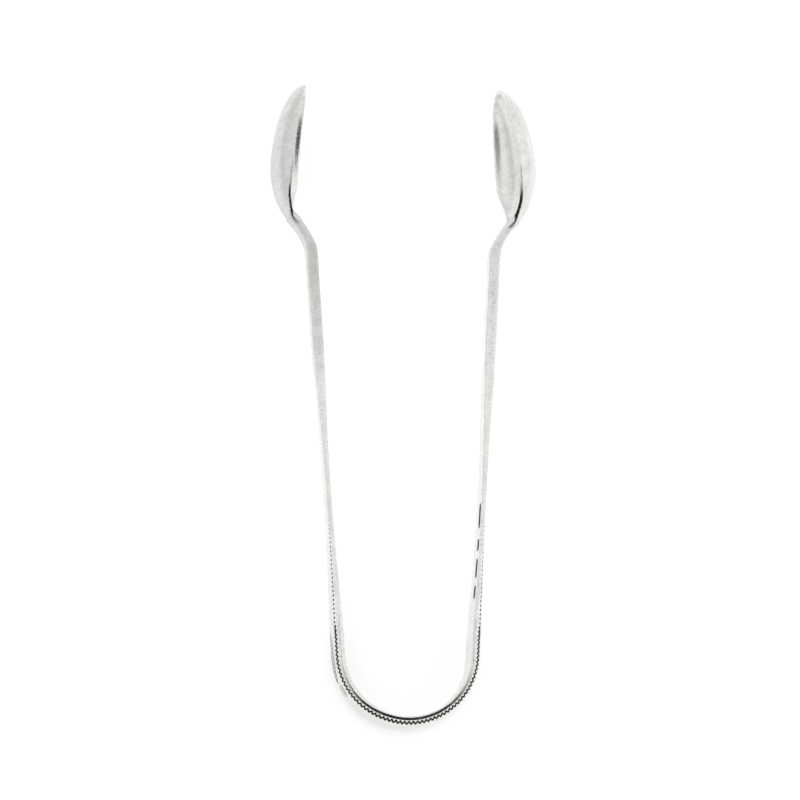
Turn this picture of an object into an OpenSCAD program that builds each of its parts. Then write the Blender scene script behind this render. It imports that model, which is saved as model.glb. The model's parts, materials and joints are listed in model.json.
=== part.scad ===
// Spring tongs for ice or lump sugar: one sprung bow, two arms and two spoon bowls.
// The tongs lie on their side, as they are put down on a table: X runs across them,
// Y runs from the bow to the bowls, and Z is up. All sizes are in millimetres.

/* [Overall] */
// Length from the back of the bow to the bowl tips
overall_len = 141; // [136:1:146]

/* [Bow] */
// Radius of the crown of the bow, to the middle of the strip
crown_r = 14.6; // [13.6:0.2:15.6]
// Angle of the crown arc, from the middle of the bow to each flank
crown_angle = 44; // [38:1:50]
// Radius of each flank of the bow, to the middle of the strip
flank_r = 15; // [14.6:0.2:18]
// Straight length of strip between a flank and its arm
bow_tail = 2; // [1:0.5:4]
// Thickness of the strip round the bow
bow_t = 2.25; // [1.5:0.05:2.6]
// Width of the strip round the bow
bow_w = 10.5; // [9.5:0.5:12]

/* [Arms] */
// Outward lean of each arm, in degrees
arm_lean = 3.5; // [3:0.1:4]
// Length of an arm, from the bow to the neck of the bowl
arm_len = 85.8; // [84:0.2:88]
// Width of an arm where it meets the neck
stem_w = 5; // [4.5:0.5:7]
// Thickness of an arm where it meets the neck
stem_t = 2.4; // [1.6:0.1:2.8]
// Thickness of an arm where it is thinnest
slim_t = 1.15; // [0.8:0.05:1.5]
// Distance along an arm at which it is down to that
slim_start = 26; // [16:1:30]
// Distance along an arm at which it starts to thicken
thicken_start = 36; // [30:1:44]
// Distance along an arm at which it has its full thickness
thicken_end = 68; // [60:1:76]
// Fullness of the shoulder: a larger value narrows the arm sooner
shoulder_power = 1.4; // [1:0.1:2]

/* [Bowls] */
// Half of the gap between the two bowl tips
tip_offset = 21.1; // [20:0.5:24]
// Length of a bowl, from tip to heel
bowl_len = 32.4; // [31:0.2:34]
// Width of a bowl
bowl_w = 18; // [17:0.5:20]
// Depth of a bowl, on the outside
bowl_depth = 6.3; // [5.5:0.1:7.5]
// Thickness of a bowl's wall
bowl_t = 0.9; // [0.7:0.1:1.2]
// Inward lean of a bowl, tip towards tip, in degrees
bowl_lean = 4.9; // [4:0.1:6]
// Roll of a bowl about its length, hollow side upward, in degrees
bowl_roll = 8; // [0:1:10]
// Height of the curve of the rim, seen from the side
rim_curve = 0.75; // [0.5:0.05:1]

/* [Neck] */
// Radius of the bend between an arm and its bowl
neck_r = 8; // [7:0.5:9]
// Angle of that bend
neck_bend = 36; // [34:1:40]
// Straight run of the neck, from the bend into the back of the bowl
neck_run = 4.6; // [4:0.2:5.2]

/* [Hidden] */
$fn = 96;
arm_steps = 32;
arc_step = 3;

// Centre of the crown arc, and of the right flank arc
crown_c = [0, bow_t / 2 + crown_r];
flank_c = crown_c + (flank_r - crown_r) * [-sin(crown_angle), cos(crown_angle)];

// Direction of the right arm, and the seams at its two ends
arm_dir = [sin(arm_lean), cos(arm_lean)];
flank_end = flank_c + flank_r * [arm_dir[1], -arm_dir[0]];
bow_seam = flank_end + bow_tail * arm_dir;
neck_seam = bow_seam + arm_len * arm_dir;
neck_c = neck_seam + neck_r * [arm_dir[1], -arm_dir[0]];

// Middle of the right bowl's rim, halfway from tip to heel
bowl_c = [tip_offset, overall_len] + bowl_len / 2 * [sin(bowl_lean), -cos(bowl_lean)];
rim_r = (pow(bowl_len / 2, 2) + pow(rim_curve, 2)) / (2 * rim_curve);

// The bowls are wider than the bow, so the tongs lie pitched by a small angle
bowl_low = norm([bowl_w / 2 * cos(bowl_roll), bowl_depth * sin(bowl_roll)]);
rest_pitch = atan((bowl_low - bow_w / 2) / bowl_c[1]);
rest_lift = bow_w / 2 * cos(rest_pitch);
rest_shift = (bow_w / 2 * sin(rest_pitch) - overall_len * cos(rest_pitch)) / 2;

// Overlap of the two stretches of the neck, so that they fuse
fuse = 0.2;

function smooth(a, b, v) = let(u = min(1, max(0, (v - a) / (b - a)))) u * u * (3 - 2 * u);
function arm_t(s) = bow_t + (slim_t - bow_t) * smooth(0, slim_start, s)
    + (stem_t - slim_t) * smooth(thicken_start, thicken_end, s);
function arm_w(s) = stem_w + (bow_w - stem_w) * pow((1 + cos(180 * s / arm_len)) / 2, shoulder_power);

// Closed outline along +Y whose width at each station s is given by the list of widths
function strip_outline(stations, widths) = concat(
    [for (i = [0:len(stations) - 1]) [widths[i] / 2, stations[i]]],
    [for (i = [len(stations) - 1:-1:0]) [-widths[i] / 2, stations[i]]]
);

function reversed(points) = [for (i = [len(points) - 1:-1:0]) points[i]];
function mirrored(points) = [for (p = points) [-p[0], p[1]]];
function without_first(points) = [for (i = [1:len(points) - 1]) points[i]];

// Points of an arc round c, where angle 0 is straight back from the bow and 90 is to the right
function arc_points(c, r, from, to) = let(steps = ceil((to - from) / arc_step))
    [for (i = [0:steps]) let(a = from + (to - from) * i / steps) c + r * [sin(a), -cos(a)]];

// The right half of the bow, from its crown to the arm, at a distance outside its middle line
function half_bow_line(offset) = concat(
    arc_points(crown_c, crown_r + offset, 0, crown_angle),
    without_first(arc_points(flank_c, flank_r + offset, crown_angle, 90 - arm_lean)),
    [bow_seam + offset * [arm_dir[1], -arm_dir[0]]]
);

// From the tongs' own middle plane to lying on the table, centred along Y
module laid_down() {
    translate([0, rest_shift, rest_lift]) rotate([rest_pitch, 0, 0]) children();
}

// A stretch of strip that bends round a centre, from one angle to another
module bent_strip(centre, r, from, sweep, t, w) {
    translate([centre[0], centre[1], 0])
        rotate_extrude(angle = sweep, start = from)
            translate([r - t / 2, -w / 2]) square([t, w]);
}

// The spring: one strip bent to a U, which gives when the arms are squeezed
module bow() {
    outside = half_bow_line(bow_t / 2);
    inside = half_bow_line(-bow_t / 2);
    color("silver") laid_down() linear_extrude(height = bow_w, center = true)
        polygon(concat(outside, reversed(inside), mirrored(without_first(inside)),
            reversed(mirrored(without_first(outside)))));
}

// An arm along +Y from its seam with the bow: it narrows and thickens towards the neck
module arm_bar() {
    stations = [for (i = [0:arm_steps]) arm_len * i / arm_steps];
    intersection() {
        linear_extrude(height = bow_w + 2, center = true)
            polygon(strip_outline(stations, [for (s = stations) arm_t(s)]));
        rotate([0, -90, 0]) linear_extrude(height = stem_t + 2, center = true)
            polygon(strip_outline(stations, [for (s = stations) arm_w(s)]));
    }
}

module right_arm_shape() {
    translate([bow_seam[0], bow_seam[1], 0]) rotate(-arm_lean) arm_bar();
}

module left_arm() {
    color("gainsboro") laid_down() mirror([1, 0, 0]) right_arm_shape();
}

module right_arm() {
    color("gainsboro") laid_down() right_arm_shape();
}

// Ellipsoid of a bowl, its outside less an inset
module bowl_body(inset) {
    scale([bowl_depth - inset, bowl_len / 2 - inset, bowl_w / 2 - inset]) sphere(r = 1);
}

// Places a bowl's own shapes: rim along Y, depth along +X
module in_bowl_place() {
    translate([bowl_c[0], bowl_c[1], 0]) rotate([0, 0, bowl_lean]) rotate([0, bowl_roll, 0])
        children();
}

// Half an ellipsoid, cut off along the gently curved rim
module half_bowl(inset) {
    difference() {
        bowl_body(inset);
        translate([rim_curve - rim_r, 0, 0])
            cylinder(r = rim_r, h = bowl_w + 2, center = true);
    }
}

// The neck: a bend outward from the arm, then a straight run into the back of the bowl
module neck_bar() {
    heading = arm_lean + neck_bend;
    bend_end = neck_c + neck_r * [-cos(heading), sin(heading)];
    bent_strip(neck_c, neck_r, 180 - heading, neck_bend, stem_t, stem_w);
    translate([bend_end[0], bend_end[1], 0]) rotate(-heading)
        translate([-stem_t / 2, -fuse, -stem_w / 2]) cube([stem_t, neck_run + fuse, stem_w]);
}

module right_bowl_shape() {
    difference() {
        union() {
            in_bowl_place() half_bowl(0);
            neck_bar();
        }
        in_bowl_place() bowl_body(bowl_t);
    }
}

module left_bowl() {
    color("whitesmoke") laid_down() mirror([1, 0, 0]) right_bowl_shape();
}

module right_bowl() {
    color("whitesmoke") laid_down() right_bowl_shape();
}

bow();
left_arm();
right_arm();
left_bowl();
right_bowl();
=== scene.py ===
"""Spring tongs of worked silver, lying on their side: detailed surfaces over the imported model.

The shapes are made in the tongs' own frame, in millimetres: X across, Y from the back of the
bow to the bowl tips, Z up from the middle plane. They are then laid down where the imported
model lies, and scaled to metres.
"""
import json
import math
from itertools import product

import bpy
import numpy as np
from mathutils import Matrix, Vector


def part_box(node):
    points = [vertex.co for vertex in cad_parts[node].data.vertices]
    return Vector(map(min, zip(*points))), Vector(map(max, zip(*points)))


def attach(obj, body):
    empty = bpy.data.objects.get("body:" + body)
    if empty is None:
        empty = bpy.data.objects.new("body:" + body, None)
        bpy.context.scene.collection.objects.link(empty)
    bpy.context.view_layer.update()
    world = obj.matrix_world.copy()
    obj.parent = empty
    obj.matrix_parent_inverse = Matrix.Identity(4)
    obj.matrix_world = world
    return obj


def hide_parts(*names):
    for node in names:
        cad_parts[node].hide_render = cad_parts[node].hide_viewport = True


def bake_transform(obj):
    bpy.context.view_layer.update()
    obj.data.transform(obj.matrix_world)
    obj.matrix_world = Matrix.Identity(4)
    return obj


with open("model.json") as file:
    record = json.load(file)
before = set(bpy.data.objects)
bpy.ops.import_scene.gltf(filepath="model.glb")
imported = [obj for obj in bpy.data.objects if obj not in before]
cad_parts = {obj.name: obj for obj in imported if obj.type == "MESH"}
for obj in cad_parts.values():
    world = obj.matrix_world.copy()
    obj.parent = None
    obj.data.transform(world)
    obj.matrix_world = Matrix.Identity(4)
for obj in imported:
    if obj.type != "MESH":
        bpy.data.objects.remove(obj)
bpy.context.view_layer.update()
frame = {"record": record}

MM = 0.001

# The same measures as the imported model
OVERALL_LEN = 141
CROWN_R, CROWN_ANGLE, FLANK_R, BOW_TAIL = 14.6, 44, 15, 2
BOW_T, BOW_W = 2.25, 10.5
ARM_LEAN, ARM_LEN = 3.5, 85.8
STEM_W, STEM_T, SLIM_T = 5, 2.4, 1.15
SLIM_START, THICKEN_START, THICKEN_END, SHOULDER_POWER = 26, 36, 68, 1.4
TIP_OFFSET, BOWL_LEN, BOWL_W, BOWL_DEPTH, BOWL_T = 21.1, 32.4, 18, 6.3, 0.9
BOWL_LEAN, BOWL_ROLL, RIM_CURVE = 4.9, 8, 0.75
NECK_R, NECK_BEND, NECK_RUN = 8, 36, 4.6


def smooth(a, b, v):
    """0 up to a, 1 from b, and an S curve between them."""
    u = np.clip((v - a) / (b - a), 0, 1)
    return u * u * (3 - 2 * u)


def heading(degrees):
    """Unit direction at an angle to the right of +Y."""
    a = math.radians(degrees)
    return np.array([math.sin(a), math.cos(a)])


def outward(degrees):
    """Unit direction that points out of the bow, where the strip heads that way."""
    a = math.radians(degrees)
    return np.array([math.cos(a), -math.sin(a)])


# Centres of the arcs of the right half, and its seams
CROWN_C = np.array([0, BOW_T / 2 + CROWN_R])
FLANK_C = CROWN_C - (FLANK_R - CROWN_R) * outward(90 - CROWN_ANGLE)
FLANK_END = FLANK_C + FLANK_R * outward(ARM_LEAN)
BOW_SEAM = FLANK_END + BOW_TAIL * heading(ARM_LEAN)
NECK_SEAM = BOW_SEAM + ARM_LEN * heading(ARM_LEAN)
NECK_C = NECK_SEAM + NECK_R * outward(ARM_LEAN)
BOWL_C = np.array([TIP_OFFSET, OVERALL_LEN]) - BOWL_LEN / 2 * heading(-BOWL_LEAN)
CROWN_LEN = CROWN_R * math.radians(CROWN_ANGLE)
FLANK_LEN = FLANK_R * math.radians(90 - ARM_LEAN - CROWN_ANGLE)
BOW_HALF = CROWN_LEN + FLANK_LEN + BOW_TAIL

# ---------------------------------------------------------------- where the tongs lie
joint = next(j for j in frame["record"]["behaviour"]["joints"] if j["name"] == "right_squeeze")
PITCH = math.atan2(-joint["axis"][1], joint["axis"][2])
LIFT = BOW_W / 2 * math.cos(PITCH)
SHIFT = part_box("bow")[0].y / MM + BOW_W / 2 * math.sin(PITCH)


def laid_down(points):
    """Points in the tongs' own frame, in mm, to where the tongs lie, in metres."""
    p = np.asarray(points, float)
    c, s = math.cos(PITCH), math.sin(PITCH)
    y, z = p[..., 1], p[..., 2]
    return np.stack([p[..., 0], y * c - z * s + SHIFT, y * s + z * c + LIFT], -1) * MM


# ---------------------------------------------------------------- the strip's middle line
def line_at(s):
    """Middle line of the right half at distance s from the crown: points and outward directions."""
    s = np.asarray(s, float)
    a = np.where(s < CROWN_LEN, s / CROWN_R, math.radians(CROWN_ANGLE) + (s - CROWN_LEN) / FLANK_R)
    a = np.minimum(a, math.radians(90 - ARM_LEAN))
    out = np.stack([np.sin(a), -np.cos(a)], -1)
    crown = CROWN_C + CROWN_R * out
    flank = FLANK_C + FLANK_R * out
    ahead = np.maximum(s - CROWN_LEN - FLANK_LEN, 0)[..., None]
    straight = FLANK_END + ahead * heading(ARM_LEAN)
    on_crown, on_flank = (s < CROWN_LEN)[..., None], (s < CROWN_LEN + FLANK_LEN)[..., None]
    return np.where(on_crown, crown, np.where(on_flank, flank, straight)), out


def strip_t(s):
    """Thickness of the strip at distance s from the crown."""
    a = s - BOW_HALF
    return (BOW_T + (SLIM_T - BOW_T) * smooth(0, SLIM_START, a)
            + (STEM_T - SLIM_T) * smooth(THICKEN_START, THICKEN_END, a))


def strip_w(s):
    """Width of the strip at distance s from the crown."""
    a = np.clip(s - BOW_HALF, 0, ARM_LEN)
    fall = ((1 + np.cos(math.pi * a / ARM_LEN)) / 2) ** SHOULDER_POWER
    return STEM_W + (BOW_W - STEM_W) * fall


# ---------------------------------------------------------------- cross-section of the strip
# Points along each part of the section, from the outer face round to the inner one
FACE_STEPS, BEVEL_STEPS, EDGE_STEPS, ROUND_STEPS, INNER_STEPS = 30, 18, 14, 6, 18
# Where the bow's section gives way to the arm's plain one
PLAIN_FROM, PLAIN_TO = BOW_HALF + 8, BOW_HALF + 42
# The ridge's place across the strip, as a share from the inside, and how much further out it
# lies on the left side
RIDGE_AT = 0.44
LEFT_RIDGE_SHIFT, LEFT_SHIFT_FROM, LEFT_SHIFT_TO = 0.2, 3, 16
# The bevel takes a share of what is outside the ridge, and the dome has the rest
BEVEL_SHARE, BEVEL_WIDE = 0.58, 1.15
PLAIN_BEVEL, PLAIN_DOME, DOME_POWER = 0.4, 0.04, 2.2
# The upper edge: an outward facet from the ridge, tilted by these degrees, then an inward one.
# Its points lie closer together near the ridge.
FACET, CROWN_TILT, FLANK_TILT, EDGE_POWER = 0.68, 12.5, 10, 1.5
INWARD_SLOPE, RIDGE_FALL, RIDGE_WIDE = 0.27, 0.1, 0.13
# The plain arm's upper edge is slightly rounded, and runs out flat at the neck
PLAIN_CROWN, CROWN_FADE = 0.045, 8
# Radius of the inner corner, round the bow and along the plain arm
INNER_ROUND, PLAIN_ROUND = 0.2, 0.4


def mix(a, b, k):
    """a where k is 0, b where k is 1."""
    return a + (b - a) * k


def section(s, side):
    """Half of the cross-section, above the middle plane, at each station of s.

    It is flat inside and domed outside. Its upper edge ends in a ridge, and a bevel joins the
    ridge to the dome. Each point has an outward offset and a height, in order from the middle
    of the outer face, over the upper edge, to the middle of the inner face.
    """
    s = s[:, None]
    t, high = strip_t(s), strip_w(s) / 2
    plain = smooth(PLAIN_FROM, PLAIN_TO, s)
    shift = LEFT_RIDGE_SHIFT * smooth(LEFT_SHIFT_FROM, LEFT_SHIFT_TO, s) * (side < 0)
    outer = t * (1 - RIDGE_AT - shift)
    deep = mix(BEVEL_SHARE * outer, PLAIN_BEVEL, plain)
    dome = mix((1 - BEVEL_SHARE) * outer, PLAIN_DOME, plain)
    wide = mix(BEVEL_WIDE, PLAIN_BEVEL, plain)
    rounding = mix(INNER_ROUND, PLAIN_ROUND, plain)
    tilt = mix(CROWN_TILT, FLANK_TILT, smooth(0, CROWN_LEN + FLANK_LEN, s))
    outward_slope = np.tan(np.radians(tilt))

    ridge_n, corner_n = t / 2 - dome - deep, rounding - t / 2
    k = np.linspace(0, 1, EDGE_STEPS + 1)[None]
    n = mix(ridge_n, corner_n, k ** EDGE_POWER)
    from_ridge = ridge_n - n
    cut_fall = (outward_slope * np.maximum(FACET - from_ridge, 0)
                + INWARD_SLOPE * np.maximum(from_ridge - FACET, 0)
                + RIDGE_FALL * np.clip(1 - from_ridge / RIDGE_WIDE, 0, 1) ** 2)
    arm_end = BOW_HALF + ARM_LEN
    crown = PLAIN_CROWN * (1 - smooth(arm_end - CROWN_FADE, arm_end, s))
    fall = mix(cut_fall, crown * (2 * k - 1) ** 2, plain)
    edge = np.stack([n, high - fall], -1)

    k = np.linspace(0, 1, FACE_STEPS)[None]
    face = np.stack([t / 2 - dome * k ** DOME_POWER, k * (high - wide)], -1)

    k = np.linspace(0, 1, BEVEL_STEPS + 1)[None, 1:]
    start_n, start_z = t / 2 - dome, high - wide
    down, up = mix(k, 1 - np.cos(k * math.pi / 2), plain), mix(k, np.sin(k * math.pi / 2), plain)
    bevel = np.stack([start_n - deep * down, start_z + (wide - fall[:, :1]) * up], -1)

    corner = fall[:, -1:]
    a = np.linspace(0, math.pi / 2, ROUND_STEPS + 1)[None, 1:]
    turn = np.stack([rounding * (1 - np.sin(a)) - t / 2,
                     high - corner - rounding * (1 - np.cos(a))], -1)

    k = np.linspace(1, 0, INNER_STEPS + 1)[None, 1:]
    z = (high - corner - rounding) * k
    inner = np.stack([-t / 2 + 0 * z, z], -1)
    return np.concatenate([face, bevel, edge[:, 1:], turn, inner], 1)


BEVEL_FIRST = FACE_STEPS - 1
BEVEL_LAST = FACE_STEPS - 1 + BEVEL_STEPS
INNER_FIRST = BEVEL_LAST + EDGE_STEPS + ROUND_STEPS


# ---------------------------------------------------------------- cuts in the strip
# The zigzag sits at a share of the bevel's width, and swings by a share of it to each side
ZIGZAG_PITCH, ZIGZAG_HALF, ZIGZAG_DEPTH = 0.92, 0.24, 0.2
ZIGZAG_AT, ZIGZAG_SWING, ZIGZAG_NARROWING = 0.47, 0.38, 0.35
ZIGZAG_END = BOW_HALF + 3.5
DOT_PITCH, DOT_R, DOT_DEPTH, DOT_AT = 0.95, 0.31, 0.17, 0.34
DOT_END, DOT_FADE = BOW_HALF + 34, 22
LEAF_FROM, LEAF_TO, LEAF_HALF, LEAF_BLUNT = 17.1, 27.7, 2.3, 0.8
VEIN_PITCH, VEIN_SLANT, VEIN_HALF, MIDRIB_HALF = 0.8, 0.7, 0.2, 0.182
DASH_FROM, DASH_TO, DASH_END, DASH_Z = 13.8, 16.8, 0.8, (1.0, 2.2)
CUT_HALF, CUT_DEPTH = 0.26, 0.17


def vee(distance, half):
    """Depth of a cut with sloping sides, from 0 to 1, at a distance from its middle."""
    return np.clip(1 - np.abs(distance) / half, 0, 1)


def border_cut(s, q, wide):
    """The wriggled border, which breaks up into dots along the arm. q runs across the bevel."""
    phase = s / ZIGZAG_PITCH
    wave = 4 * np.abs(phase - np.floor(phase) - 0.5) - 1
    narrowing = 1 - ZIGZAG_NARROWING * smooth(ZIGZAG_END - 5, ZIGZAG_END + 2, s)
    reach = ZIGZAG_SWING * wide * narrowing
    slope = 4 * reach / ZIGZAG_PITCH
    gap = (q - wide * ZIGZAG_AT - reach * wave) / np.sqrt(1 + slope ** 2)
    zigzag = vee(gap, ZIGZAG_HALF) * (1 - smooth(ZIGZAG_END - 1, ZIGZAG_END + 2, s))
    along = (s / DOT_PITCH - np.round(s / DOT_PITCH)) * DOT_PITCH
    dot = np.clip(1 - (along ** 2 + (q - wide * DOT_AT) ** 2) / DOT_R ** 2, 0, 1)
    fade = smooth(ZIGZAG_END - 3, ZIGZAG_END + 1, s) * (1 - smooth(DOT_END - DOT_FADE, DOT_END, s))
    return np.maximum(zigzag * ZIGZAG_DEPTH, dot * fade * DOT_DEPTH)


def face_cut(s, z):
    """A veined leaf and four short dashes, in the middle of each shoulder's outer face."""
    u = np.clip((s - LEAF_FROM) / (LEAF_TO - LEAF_FROM), 0, 1)
    half = LEAF_HALF * np.sin(math.pi * u ** LEAF_BLUNT)
    on_leaf = (s > LEAF_FROM) & (s < LEAF_TO)
    outline = vee(np.abs(z) - half, CUT_HALF)
    along = (s - VEIN_SLANT * np.abs(z)) / VEIN_PITCH
    veins = vee((along - np.round(along)) * VEIN_PITCH, VEIN_HALF) * (np.abs(z) < half)
    leaf = np.where(on_leaf, np.maximum(np.maximum(outline, veins), vee(z, MIDRIB_HALF)), 0)
    ends = smooth(DASH_FROM, DASH_FROM + DASH_END, s) * (1 - smooth(DASH_TO - DASH_END, DASH_TO, s))
    dashes = [vee(np.abs(z) - at, CUT_HALF) * ends for at in DASH_Z]
    return np.maximum(leaf, np.maximum(*dashes)) * CUT_DEPTH


# Each punch's place along the arm, and half its length
PUNCHES = ((28.6, 2.5), (22.3, 1.2), (17.2, 1.95), (12.0, 1.3))
PUNCH_Z, PUNCH_HALF_W, PUNCH_WALL, PUNCH_DEPTH = 2.0, 1.1, 0.22, 0.16


def punch_cut(s, z):
    """Four plain punches on the inner face, each an empty sunk field with rounded corners."""
    cut = np.zeros(np.broadcast(s, z).shape)
    for middle, half in PUNCHES:
        along = np.abs(s - BOW_HALF - middle) / half
        radius = (along ** 4 + (np.abs(z - PUNCH_Z) / PUNCH_HALF_W) ** 4) ** 0.25
        cut = np.maximum(cut, smooth(1 + PUNCH_WALL, 1 - PUNCH_WALL, radius))
    return cut * PUNCH_DEPTH


# ---------------------------------------------------------------- darker towards the bowls
# The tarnish at which silver starts to darken, and at which it is fully dark
CUT_SHADE, CUT_DARK = 0.05, 0.35
# Share of that darkness near the bowl, on the left (-1) and on the right (1)
SIDE_DARKENING = {-1: 0.16, 1: 0.04}
DARKENING_FROM, DARKENING_TO = BOW_HALF + 30, BOW_HALF + 80


def darkening_towards_bowl(s, side):
    """Darkening on an arm, held in the same value as the cuts' tarnish, stronger on the left. It
    grows towards the bowl.
    """
    return mix(CUT_SHADE, CUT_DARK, SIDE_DARKENING[side]) * smooth(DARKENING_FROM, DARKENING_TO, s)


# ---------------------------------------------------------------- meshes
SHARP_ANGLE = 75


def cuts_at(s, half, ring, punched):
    """Depth of the cuts at each point of the rings, whose upper halves are given."""
    count, z = ring.shape[1], ring[..., 1]
    spread = np.linalg.norm(half - half[:, BEVEL_FIRST:BEVEL_FIRST + 1], axis=-1)
    across = np.concatenate([spread, spread[:, -2:0:-1]], 1)
    wide = spread[:, BEVEL_LAST:BEVEL_LAST + 1]
    place = np.minimum(np.arange(count), count - np.arange(count))[None]
    on_bevel = (place >= BEVEL_FIRST) & (place <= BEVEL_LAST)
    cut = np.where(on_bevel, border_cut(s, across, wide), 0)
    cut = np.where(place < BEVEL_FIRST, face_cut(s, z), cut)
    if punched:
        cut = np.where(place >= INNER_FIRST, punch_cut(s, z), cut)
    return cut


def sunk(ring, cut):
    """The rings with each point moved inward, square to its surface, by the depth of its cut."""
    edge = np.roll(ring, -1, 1) - np.roll(ring, 1, 1)
    normal = np.stack([edge[..., 1], -edge[..., 0]], -1)
    normal /= np.linalg.norm(normal, axis=-1, keepdims=True)
    return ring - normal * cut[..., None]


def tube_faces(rows, count):
    """Faces of a closed tube with flat ends, from rows of count points each."""
    index = np.arange(rows * count).reshape(-1, count)
    a, b = index[:-1], index[1:]
    quads = np.stack([a, np.roll(a, -1, 1), np.roll(b, -1, 1), b], -1).reshape(-1, 4)
    return quads.tolist() + [index[0, ::-1].tolist(), index[-1].tolist()]


def strip_piece(name, stations, side, punched=False):
    """One stretch of the strip between its first and last station, as a closed mesh."""
    half = section(stations, side)
    ring = np.concatenate([half, (half * [1, -1])[:, -2:0:-1]], 1)
    s = np.broadcast_to(stations[:, None], ring.shape[:2])
    cut = cuts_at(s, half, ring, punched)
    ring = sunk(ring, cut)
    middle, out = line_at(stations)
    flat = middle[:, None] + out[:, None] * ring[..., :1]
    points = np.concatenate([flat, ring[..., 1:]], -1).reshape(-1, 3) * [side, 1, 1]
    faces = tube_faces(*ring.shape[:2])
    if side > 0:
        faces = [f[::-1] for f in faces]
    deepest = max(ZIGZAG_DEPTH, DOT_DEPTH, PUNCH_DEPTH)
    return make_piece(name, points, faces, np.maximum(cut / deepest, darkening_towards_bowl(s, side)).ravel())


def make_piece(name, points, faces, tarnish_and_painted_dark):
    """A piece with smooth shading. Its attribute of tarnish and painted dark runs from 0, bright, to
    1 in deep cuts; on the bowls it also holds a painted dark reflection along the rim.
    """
    mesh = bpy.data.meshes.new(name)
    mesh.from_pydata(laid_down(points).tolist(), [], faces)
    mesh.attributes.new("tarnish_and_painted_dark", "FLOAT", "POINT").data.foreach_set(
        "value", np.asarray(tarnish_and_painted_dark, np.float32))
    mesh.update()
    mesh.validate()
    mesh.shade_smooth()
    mesh.set_sharp_from_angle(angle=math.radians(SHARP_ANGLE))
    piece = bpy.data.objects.new(name, mesh)
    bpy.context.scene.collection.objects.link(piece)
    return piece


# ---------------------------------------------------------------- the bowls
RIM_R = ((BOWL_LEN / 2) ** 2 + RIM_CURVE ** 2) / (2 * RIM_CURVE)
# Along the bowl, Y is 0 at the middle of the rim and runs to the tip
DEEPEST_Y, HEEL_Y, HEEL_POWER, HEEL_FADE, SIDE_POWER = -1.8, -14.8, 1.8, 8, 2.5
HEEL_WALL, HEEL_SLOPE, HEEL_FROM, HEEL_FULL = 0.1, 0.4, -4, -11
# The rim dips, then rises to the neck
RIM_DIP, RIM_DIP_Y, RIM_DIP_HALF = 0.45, -9.5, 5
RIM_RISE, RIM_RISE_Y, RIM_RISE_SOFT = 0.55, -13.6, 0.8
WALL_REACH = 1.3
# How softly the rim is rounded, and the neck flows into the bowl
RIM_SOFT, FLOW = 0.24, 1.5
# The neck's thickness outside and inside its middle line, where it ends in the bowl
NECK_END_OUT, NECK_END_IN = 0.35, 1.6
NECK_RISE_Y, NECK_RISE_X, NECK_RISE = -12.3, -0.43, 0.68
NECK_CORNER = 0.4
# The neck is a hair smaller than the arm, and a tenon of it goes into the arm's end
SEAM_STEP, TENON = 0.015, 0.5
# Painted dark reflection along the rim, standing for the dark camera mirrored in the rim's edge:
# where it ends, its spread from the rim, its lowest height and its strength
PAINTED_RIM_END, PAINTED_RIM_NEAR, PAINTED_RIM_FAR, PAINTED_RIM_OVER, PAINTED_RIM_DARKNESS = -17, 0.1, 0.3, 1.8, 0.4
# Spacing of the bowl's mesh, and how its points are spread evenly
NET_STEP = 0.22
SPREAD_ROUNDS, SPREAD_SHARE = 4, 0.6
# Step over which the slope of a field is taken
TINY = 1e-3


def soft_max(a, b, k):
    """The larger of two fields, rounded over a width of k where they cross."""
    h = np.clip(0.5 + (a - b) / (2 * k), 0, 1)
    return b + (a - b) * h + k * h * (1 - h)


def soft_min(a, b, k):
    return -soft_max(-a, -b, k)


def in_bowl(p):
    """Points of the tongs' frame in the right bowl's own: x is depth, y runs to the tip."""
    lean, roll = math.radians(BOWL_LEAN), math.radians(BOWL_ROLL)
    x, y, z = p[:, 0] - BOWL_C[0], p[:, 1] - BOWL_C[1], p[:, 2]
    x, y = x * math.cos(lean) + y * math.sin(lean), y * math.cos(lean) - x * math.sin(lean)
    return x * math.cos(roll) - z * math.sin(roll), y, z * math.cos(roll) + x * math.sin(roll)


def egg(x, y, z, inset):
    """Negative inside the bowl's full body, less an inset. It is fuller at the tip than the heel."""
    to_tip = y > DEEPEST_Y
    to_heel = DEEPEST_Y - HEEL_Y - HEEL_WALL * (inset > 0)
    reach = np.where(to_tip, BOWL_LEN / 2 - DEEPEST_Y, to_heel) - inset
    power = 2 - (2 - HEEL_POWER) * smooth(DEEPEST_Y, DEEPEST_Y - HEEL_FADE, y)
    round_part = ((np.abs(x) / (BOWL_DEPTH - inset)) ** SIDE_POWER
                  + (np.abs(z) / (BOWL_W / 2 - inset)) ** SIDE_POWER)
    return round_part ** (power / SIDE_POWER) + (np.abs(y - DEEPEST_Y) / reach) ** power - 1


def egg_distance(x, y, z, inset):
    """egg, scaled to a distance in mm near its surface."""
    f = egg(x, y, z, inset)
    gx = egg(x + TINY, y, z, inset) - f
    gy = egg(x, y + TINY, z, inset) - f
    gz = egg(x, y, z + TINY, inset) - f
    steep = np.sqrt(gx ** 2 + gy ** 2 + gz ** 2) / TINY
    return f / np.maximum(steep, 0.05)


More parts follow.
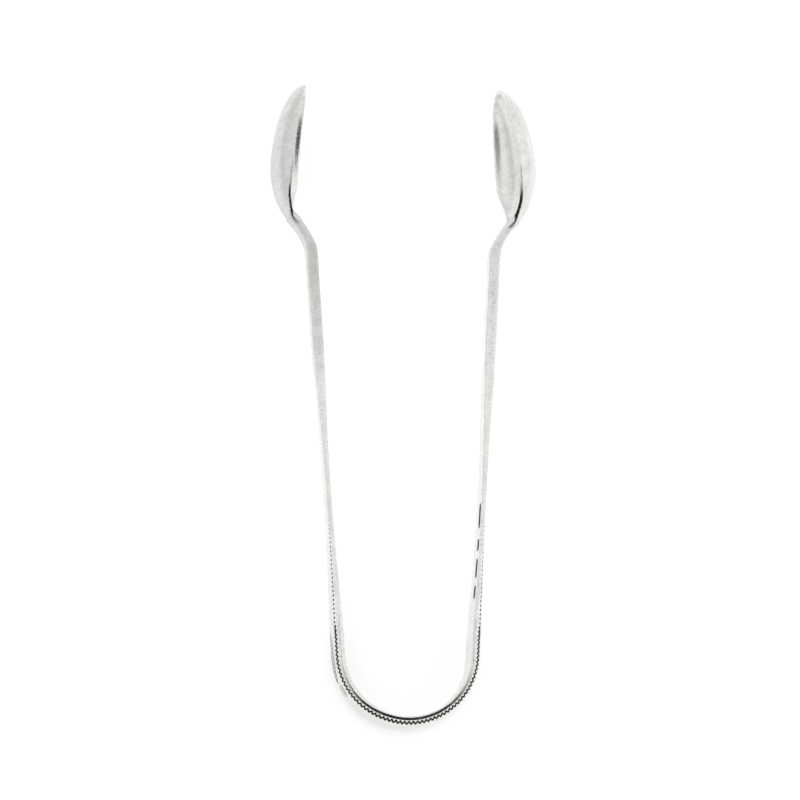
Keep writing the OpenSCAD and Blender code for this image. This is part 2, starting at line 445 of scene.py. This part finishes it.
def neck_distance(p):
    """Distance in mm outside the neck: a bar that bends outward, then runs into the bowl."""
    q = p[:, :2]
    v = q - NECK_C
    turn = np.arctan2(v[:, 1], -v[:, 0]) - math.radians(ARM_LEAN)
    bend = math.radians(NECK_BEND)
    bend_len = NECK_R * bend
    far = ARM_LEAN + NECK_BEND
    bend_end = NECK_C - NECK_R * outward(far)
    before = (q - NECK_SEAM) @ heading(ARM_LEAN)
    after = (q - bend_end) @ heading(far)
    s = np.where(turn < 0, before, np.where(turn > bend, bend_len + after, NECK_R * turn))
    in_bend, past_bend = NECK_R - np.hypot(v[:, 0], v[:, 1]), (q - bend_end) @ outward(far)
    n = np.where(turn < 0, (q - NECK_SEAM) @ outward(ARM_LEAN),
                 np.where(turn > bend, past_bend, in_bend))
    length = bend_len + NECK_RUN
    side_t = STEM_T / 2 - SEAM_STEP
    out_t, in_t = (mix(side_t, end, smooth(0, length, s)) for end in (NECK_END_OUT, NECK_END_IN))
    dn = np.maximum(n - out_t, -n - in_t) + NECK_CORNER
    dz = np.abs(p[:, 2]) - STEM_W / 2 + SEAM_STEP + NECK_CORNER
    box = np.hypot(np.maximum(dn, 0), np.maximum(dz, 0)) + np.minimum(np.maximum(dn, dz), 0)
    ends = np.maximum(-TENON - s, s - length)
    x, y, _ = in_bowl(p)
    above = (NECK_RISE_X - NECK_RISE * (NECK_RISE_Y - y) - x) / math.hypot(1, NECK_RISE)
    return soft_max(np.maximum(box - NECK_CORNER, ends), above, NECK_CORNER)


def rim_face(x, y, z):
    """Above zero where the rim is cut away. Along the heel the cut slopes outward."""
    rim = RIM_CURVE - RIM_R + np.sqrt(RIM_R ** 2 - np.minimum(y ** 2, RIM_R ** 2 - 1))
    rim = rim + RIM_DIP * np.cos(np.clip((y - RIM_DIP_Y) / RIM_DIP_HALF, -1, 1) * math.pi / 2) ** 2
    rim = rim - RIM_RISE * soft_max(RIM_RISE_Y - y, 0, RIM_RISE_SOFT)
    wall = np.clip(egg_distance(x, y, z, BOWL_T), 0, WALL_REACH)
    return rim + HEEL_SLOPE * smooth(HEEL_FROM, HEEL_FULL, y) * wall - x


def bowl_field(p):
    """Negative inside the right bowl and its neck."""
    x, y, z = in_bowl(p)
    shell = soft_max(egg_distance(x, y, z, 0), rim_face(x, y, z), RIM_SOFT)
    solid = soft_min(shell, neck_distance(p), FLOW)
    return soft_max(solid, -egg_distance(x, y, z, BOWL_T), RIM_SOFT)


def settle(points, field, rounds):
    """Moves points along the field's slope until they lie on its surface."""
    for _ in range(rounds):
        f = field(points)
        slope = np.stack([field(points + np.eye(3)[i] * TINY) - f for i in range(3)], -1) / TINY
        step = f / np.maximum((slope ** 2).sum(-1), 0.1)
        points = points - np.clip(step, -NET_STEP, NET_STEP)[:, None] * slope
    return points


def surface_net(field, low, high, step):
    """Closed mesh of four-sided faces over the surface where the field is zero."""
    axes = [np.arange(a, b + step, step) for a, b in zip(low, high)]
    nodes = np.stack(np.meshgrid(*axes, indexing="ij"), -1)
    inside = (field(nodes.reshape(-1, 3)) < 0).reshape(nodes.shape[:3])
    cells = tuple(n - 1 for n in inside.shape)
    total = sum(inside[i:i + cells[0], j:j + cells[1], k:k + cells[2]].astype(int)
                for i, j, k in product((0, 1), repeat=3))
    active = (total > 0) & (total < 8)
    index = np.full(cells, -1)
    index[active] = np.arange(active.sum())
    points = nodes[:-1, :-1, :-1][active] + step / 2
    faces = []
    for axis in range(3):
        u, v = (axis + 1) % 3, (axis + 2) % 3
        turned = np.moveaxis(inside, (axis, u, v), (0, 1, 2))
        numbered = np.moveaxis(index, (axis, u, v), (0, 1, 2))
        here, there = turned[:-1, 1:-1, 1:-1], turned[1:, 1:-1, 1:-1]
        ring = [numbered[:, :-1, :-1], numbered[:, 1:, :-1],
                numbered[:, 1:, 1:], numbered[:, :-1, 1:]]
        for crossing, order in ((here & ~there, (0, 1, 2, 3)), (~here & there, (3, 2, 1, 0))):
            faces.append(np.stack([ring[i][crossing] for i in order], -1))
    return points, np.concatenate(faces)


def evened(points, faces, field):
    """Spreads the points of a mesh evenly over the field's surface."""
    edges = np.concatenate([faces[:, [i, (i + 1) % 4]] for i in range(4)])
    a, b = np.concatenate([edges, edges[:, ::-1]]).T
    count = np.bincount(a, minlength=len(points))[:, None]
    for _ in range(SPREAD_ROUNDS):
        mean = np.stack([np.bincount(a, points[b, i], len(points)) for i in range(3)], -1) / count
        points = settle(points + SPREAD_SHARE * (mean - points), field, 2)
    return settle(points, field, 3)


def bowl_mesh():
    """Points and faces of the right bowl and its neck."""
    room = 1.5
    low = [NECK_SEAM[0] - 2 * room, NECK_SEAM[1] - TENON - room, -BOWL_W / 2 - room]
    high = [BOWL_C[0] + BOWL_DEPTH + 2 * room, OVERALL_LEN + room, BOWL_W / 2 + room]
    points, faces = surface_net(bowl_field, low, high, NET_STEP)
    return evened(points, faces, bowl_field), faces


def bowl_piece(name, side, points, faces):
    """A bowl with its neck: dull outside, with a painted dark reflection along the upper rim's heel.
    """
    x, y, z = in_bowl(points)
    # Painted reflection: a dark ribbon along the upper rim's heel, standing for the dark camera
    # mirrored in the rim's edge
    past_end = PAINTED_RIM_FAR * smooth(RIM_RISE_Y, PAINTED_RIM_END, y)
    near_rim = 1 - smooth(PAINTED_RIM_NEAR, PAINTED_RIM_FAR, np.abs(rim_face(x, y, z)) + past_end)
    painted_rim_reflection = PAINTED_RIM_DARKNESS * near_rim * smooth(HEEL_FROM, HEEL_FULL, y) * (z > PAINTED_RIM_OVER)
    outside = smooth(-0.2, 0.2, egg_distance(x, y, z, BOWL_T / 2))
    # Painted dark reflection along the rim, together with the darker outside of the bowl
    dull = np.maximum(painted_rim_reflection, darkening_towards_bowl(DARKENING_TO, side) * outside)
    turned = faces if side > 0 else faces[:, ::-1]
    return make_piece(name, points * [side, 1, 1], turned.tolist(), dull)


# ---------------------------------------------------------------- materials
def map_range(nodes, links, source, limits):
    """A node that takes the first two of the limits to the last two, and what lies between."""
    node = nodes.new("ShaderNodeMapRange")
    for socket, value in zip(node.inputs[1:5], limits):
        socket.default_value = value
    links.new(source, node.inputs[0])
    return node


def nodes_of(name):
    """A new material, with the nodes and links of its tree."""
    material = bpy.data.materials.new(name)
    material.use_nodes = True
    tree = material.node_tree
    return material, tree.nodes, tree.links


# Colour of the tarnish in the cuts, also used for the painted dark reflection along the bowls' rims
TARNISH_AND_PAINTED_DARK_COLOUR = (0.022, 0.02, 0.018)
# Each pattern's scale and detail, and the levels of noise at which it starts and is full
PATCHES, MOTTLE = (90, 4, 0.42, 0.68), (420, 5, 0.35, 0.75)
SCUFFS, PITS = (1500, 3, 0.5, 0.72), (2600, 2, 0.5, 0.7)
# What is left of the tint in the patches, the mottle and the pits, and how strong the last two are
PATCH_TINT, MOTTLE_TINT, PIT_TINT = (0.97, 0.955, 0.93), 0.82, 0.58
MOTTLE_SHARE, PIT_SHARE = 0.8, 0.5
# What the patches, the scuffs and the cuts add to the roughness
PATCH_ROUGH, SCUFF_ROUGH, CUT_ROUGH = 0.05, 0.12, 0.4
# Height of the mottle and the scuffs against a pit's depth, and the bump's strength and scale
MOTTLE_HIGH, SCUFF_HIGH, BUMP, BUMP_SCALE = 0.35, 0.25, 0.16, 0.00005


def silver(name, polish, tint, brushed):
    """Old silver: bright on the high places, dull and dark in the cuts and in the painted dark
    reflection along the bowls' rims, with fine wear.

    polish is its roughness where it is brightest, and brushed stretches its scuffs.
    """
    material, nodes, links = nodes_of(name)
    shader = nodes["Principled BSDF"]
    shader.inputs["Metallic"].default_value = 1
    where = nodes.new("ShaderNodeTexCoord")

    def ramp(source, low, high):
        return map_range(nodes, links, source, (low, high, 0, 1)).outputs[0]

    def noise(scale, detail, low, high, stretch=(1, 1, 1)):
        mapping = nodes.new("ShaderNodeMapping")
        mapping.inputs["Scale"].default_value = stretch
        links.new(where.outputs["Object"], mapping.inputs["Vector"])
        texture = nodes.new("ShaderNodeTexNoise")
        texture.inputs["Scale"].default_value = scale
        texture.inputs["Detail"].default_value = detail
        links.new(mapping.outputs[0], texture.inputs["Vector"])
        return ramp(texture.outputs["Fac"], low, high)

    def maths(kind, a, b):
        node = nodes.new("ShaderNodeMath")
        node.operation = kind
        for socket, value in zip(node.inputs, (a, b)):
            if isinstance(value, (int, float)):
                socket.default_value = value
            else:
                links.new(value, socket)
        return node.outputs[0]

    def blend(factor, a, b):
        node = nodes.new("ShaderNodeMix")
        node.data_type = "RGBA"
        links.new(factor, node.inputs["Factor"])
        for socket, value in ((node.inputs[6], a), (node.inputs[7], b)):
            if isinstance(value, tuple):
                socket.default_value = (*value, 1)
            else:
                links.new(value, socket)
        return node.outputs[2]

    # This attribute holds the tarnish in the cuts and, on the bowls, a painted dark reflection along
    # the rim
    cut = nodes.new("ShaderNodeAttribute")
    cut.attribute_name = "tarnish_and_painted_dark"
    cut_tarnish_and_painted_dark = ramp(cut.outputs["Fac"], CUT_SHADE, CUT_DARK)
    patches, mottle, pits = noise(*PATCHES), noise(*MOTTLE), noise(*PITS)
    scuffs = noise(*SCUFFS, brushed)

    def share(amount, of):
        return maths("MULTIPLY", of, amount)

    bright = blend(patches, tint, tuple(c * f for c, f in zip(tint, PATCH_TINT)))
    worn = blend(share(MOTTLE_SHARE, mottle), bright, tuple(MOTTLE_TINT * c for c in tint))
    pitted = blend(share(PIT_SHARE, pits), worn, tuple(PIT_TINT * c for c in tint))
    links.new(blend(cut_tarnish_and_painted_dark, pitted, TARNISH_AND_PAINTED_DARK_COLOUR), shader.inputs["Base Color"])

    dull = maths("ADD", share(PATCH_ROUGH, patches), share(SCUFF_ROUGH, scuffs))
    rough = maths("ADD", maths("ADD", polish, dull), share(CUT_ROUGH, cut_tarnish_and_painted_dark))
    links.new(rough, shader.inputs["Roughness"])

    height = maths("ADD", share(MOTTLE_HIGH, mottle), share(SCUFF_HIGH, scuffs))
    bump = nodes.new("ShaderNodeBump")
    bump.inputs["Strength"].default_value = BUMP
    bump.inputs["Distance"].default_value = BUMP_SCALE
    links.new(maths("SUBTRACT", height, pits), bump.inputs["Height"])
    links.new(bump.outputs["Normal"], shader.inputs["Normal"])
    return material


FLOOR_WHITE, FLOOR_ROUGH, FLOOR_GLOW = 0.9, 0.8, 0.36


def floor_material():
    """Plain white paper, with a glow that keeps it white in the picture."""
    material, nodes, _ = nodes_of("pale_floor")
    shader = nodes["Principled BSDF"]
    shader.inputs["Base Color"].default_value = (FLOOR_WHITE, FLOOR_WHITE, FLOOR_WHITE, 1)
    shader.inputs["Roughness"].default_value = FLOOR_ROUGH
    shader.inputs["Emission Color"].default_value = (1, 1, 1, 1)
    shader.inputs["Emission Strength"].default_value = FLOOR_GLOW
    return material


# ---------------------------------------------------------------- pieces
FINE, COARSE = 0.075, 0.3
CUTS_END = BOW_HALF + 31


def stations(first, last, fine_until):
    """Places along the strip: close together where it is cut, and wider apart past that."""
    fine_end = min(fine_until, last)
    fine = np.linspace(first, fine_end, round((fine_end - first) / FINE) + 1)
    if last <= fine_until:
        return fine
    coarse = np.linspace(fine_until, last, round((last - fine_until) / COARSE) + 1)
    return np.concatenate([fine, coarse[1:]])


def build():
    """Every piece: the two halves of the bow, the arms and the bowls."""
    bow_silver = silver("bow_silver_worn", 0.1, (0.765, 0.76, 0.745), (1, 1, 6))
    arm_silver = silver("arm_silver_worn", 0.2, (0.79, 0.785, 0.77), (6, 1, 6))
    bowl_silver = silver("bowl_silver_worn_painted_rim", 0.25, (0.82, 0.817, 0.805), (1, 1, 1))
    bow_at = stations(0, BOW_HALF, BOW_HALF)
    arm_at = stations(BOW_HALF, BOW_HALF + ARM_LEN, CUTS_END)
    bowl_points, bowl_faces = bowl_mesh()
    for word, side in (("left", -1), ("right", 1)):
        body = word + "_side"
        half = strip_piece(f"bow_{word}_half", bow_at, side)
        half.data.materials.append(bow_silver)
        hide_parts("bow")
        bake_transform(half)
        arm = strip_piece(f"{word}_arm_worked", arm_at, side, punched=side > 0)
        arm.data.materials.append(arm_silver)
        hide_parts(f"{word}_arm")
        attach(arm, body)
        bowl = bowl_piece(f"{word}_bowl_worked", side, bowl_points, bowl_faces)
        bowl.data.materials.append(bowl_silver)
        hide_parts(f"{word}_bowl")
        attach(bowl, body)


# ---------------------------------------------------------------- camera, floor and light
# Its sensor and lens, in mm, and how far its frame is shifted, as shares of the frame's width
SENSOR, LENS = 36, 145.53
FRAME_SHIFT = (-0.0049, 0.0013375)
# Distance from the tongs, and the place along them that the camera looks at
CAMERA_FAR, CAMERA_OVER = 700, 70.9
# Its lean to the left and towards the bow, and its turn, in degrees
CAMERA_LEFT, CAMERA_LOW, CAMERA_TURN = 7.44, 10.88, -0.4


def add_camera():
    """The camera stands over the tongs, a little to their left and towards the bow."""
    back = np.array([-math.tan(math.radians(CAMERA_LEFT)), -math.tan(math.radians(CAMERA_LOW)), 1])
    back /= np.linalg.norm(back)
    right = np.cross([0, 1, 0], back)
    right /= np.linalg.norm(right)
    up = np.cross(back, right)
    turn = math.radians(CAMERA_TURN)
    right, up = (right * math.cos(turn) + up * math.sin(turn),
                 up * math.cos(turn) - right * math.sin(turn))
    place = laid_down(np.array([0, CAMERA_OVER, 0]) + CAMERA_FAR * back)
    axes = [laid_down(v) - laid_down((0, 0, 0)) for v in (right, up, back)]
    camera = bpy.data.objects.new("camera", bpy.data.cameras.new("camera"))
    matrix = Matrix.Identity(4)
    for column, axis in enumerate(axes):
        matrix.col[column][:3] = axis / MM
    matrix.col[3][:3] = place
    camera.matrix_world = matrix
    camera.data.sensor_width = SENSOR
    camera.data.lens = LENS
    camera.data.shift_x, camera.data.shift_y = FRAME_SHIFT
    camera.data.clip_start, camera.data.clip_end = 0.01, 10
    bpy.context.scene.collection.objects.link(camera)
    bpy.context.scene.camera = camera


FLOOR_HALF, FLOOR_GAP = 3.0, 0.00005


def add_floor():
    half = FLOOR_HALF
    mesh = bpy.data.meshes.new("floor")
    mesh.from_pydata([(-half, -half, 0), (half, -half, 0), (half, half, 0), (-half, half, 0)], [],
                     [(0, 1, 2, 3)])
    mesh.materials.append(floor_material())
    floor = bpy.data.objects.new("floor", mesh)
    floor.location.z = -FLOOR_GAP
    bpy.context.scene.collection.objects.link(floor)


# The dark patch: its direction, and the cosines of the angles at its inner and outer edge
DARK_TOWARDS = (0.13, -0.28, 0.95)
DARK_INNER, DARK_OUTER = 0.965, 0.885
# The white room: the direction in which it is brighter, over what span, and by how much
SKY_LEAN, SKY_FROM, SKY_TO = (0.4, 0, 0.92), -0.4, 0.9
SKY_LOW, SKY_HIGH, DARK = 0.8, 1.15, 0.02


def add_world():
    """A white room, brighter overhead and to the right, with one dark patch for the camera."""
    world = bpy.data.worlds.new("studio")
    bpy.context.scene.world = world
    world.use_nodes = True
    nodes, links = world.node_tree.nodes, world.node_tree.links
    where = nodes.new("ShaderNodeTexCoord")

    def towards(direction):
        node = nodes.new("ShaderNodeVectorMath")
        node.operation = "DOT_PRODUCT"
        node.inputs[1].default_value = direction
        links.new(where.outputs["Generated"], node.inputs[0])
        return node.outputs["Value"]

    facing = towards(Vector(DARK_TOWARDS).normalized())
    fall = map_range(nodes, links, facing, (DARK_OUTER, DARK_INNER, 1, DARK))
    fall.interpolation_type = "SMOOTHSTEP"
    sky = map_range(nodes, links, towards(SKY_LEAN), (SKY_FROM, SKY_TO, SKY_LOW, SKY_HIGH))
    both = nodes.new("ShaderNodeMath")
    both.operation = "MULTIPLY"
    links.new(fall.outputs[0], both.inputs[0])
    links.new(sky.outputs[0], both.inputs[1])
    links.new(both.outputs[0], nodes["Background"].inputs["Color"])


LAMP_SIZE, LAMP_POWER, LAMP_PLACE = 0.6, 0.4, (-0.5, 0.6, 0.9)


def add_lamp():
    """One soft round lamp, up on the left beyond the bowls, aimed at the tongs."""
    lamp = bpy.data.lights.new("soft_lamp", "AREA")
    lamp.shape, lamp.size, lamp.energy = "DISK", LAMP_SIZE, LAMP_POWER
    holder = bpy.data.objects.new("soft_lamp", lamp)
    holder.location = LAMP_PLACE
    holder.visible_glossy = False
    holder.rotation_euler = Vector(holder.location).to_track_quat("Z", "Y").to_euler()
    bpy.context.scene.collection.objects.link(holder)


build()
add_floor()
add_world()
add_lamp()
add_camera()
bpy.context.scene.view_settings.view_transform = "Standard"
